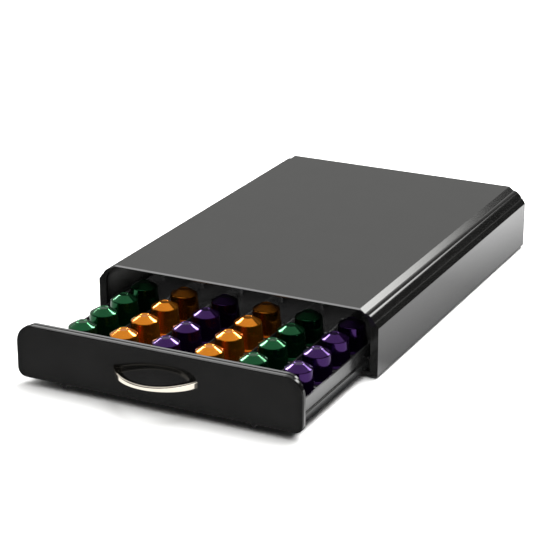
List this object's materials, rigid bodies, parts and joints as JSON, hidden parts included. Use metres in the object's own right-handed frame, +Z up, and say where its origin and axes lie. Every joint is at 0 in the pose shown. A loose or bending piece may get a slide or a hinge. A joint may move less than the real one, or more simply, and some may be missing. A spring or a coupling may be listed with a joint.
{
  "type": "coffee pod drawer",
  "caption": "Low gloss-black case with a moulded top edge and one wide sliding drawer, divided into lanes for coffee pods, with a metal bow handle.",
  "frame": {"origin": "on the table under the middle of the overall length and width of the drawer as it stands open", "axes": "+X to the right seen from the front, +Y towards the back of the case, +Z up; the drawer opens towards -Y"},
  "size_m": [0.296, 0.5809, 0.067],
  "materials": {
    "case_gloss": "polished black moulded plastic",
    "case_satin": "plain black moulded plastic",
    "tray_gloss": "black moulded plastic",
    "foot_rubber": "soft black rubber",
    "handle_nickel": "polished nickel plate",
    "screw_steel": "zinc plated",
    "pod_green": "satin dark green anodised",
    "pod_gold": "satin gold anodised",
    "pod_purple": "satin violet anodised"
  },
  "bodies": {
    "case": {"case_shell": "case_gloss", "back_panel": "case_gloss", "base_plate": "case_satin", "base_screws": "screw_steel", "foot_front_left": "foot_rubber", "foot_front_right": "foot_rubber", "foot_rear_left": "foot_rubber", "foot_rear_right": "foot_rubber", "rail_left": "case_satin", "rail_right": "case_satin", "rail_screws": "screw_steel"},
    "drawer": {"drawer_tray": "tray_gloss", "lane_dividers": "tray_gloss", "front_panel": "case_gloss", "panel_screws": "screw_steel", "closing_bumpers": "foot_rubber", "handle": "handle_nickel", "handle_screws": "screw_steel", "pods_lane_1": "pod_green", "pods_lane_2": "pod_gold", "pods_lane_3": "pod_purple", "pods_lane_4": "pod_gold", "pods_lane_5": "pod_green", "pods_lane_6": "pod_purple"}
  },
  "joints": [
    {"name": "drawer_slide", "type": "slide", "parent": "case", "child": "drawer", "axis": [0, -1, 0], "range_m": [-0.1471, 0.148]}
  ]
}
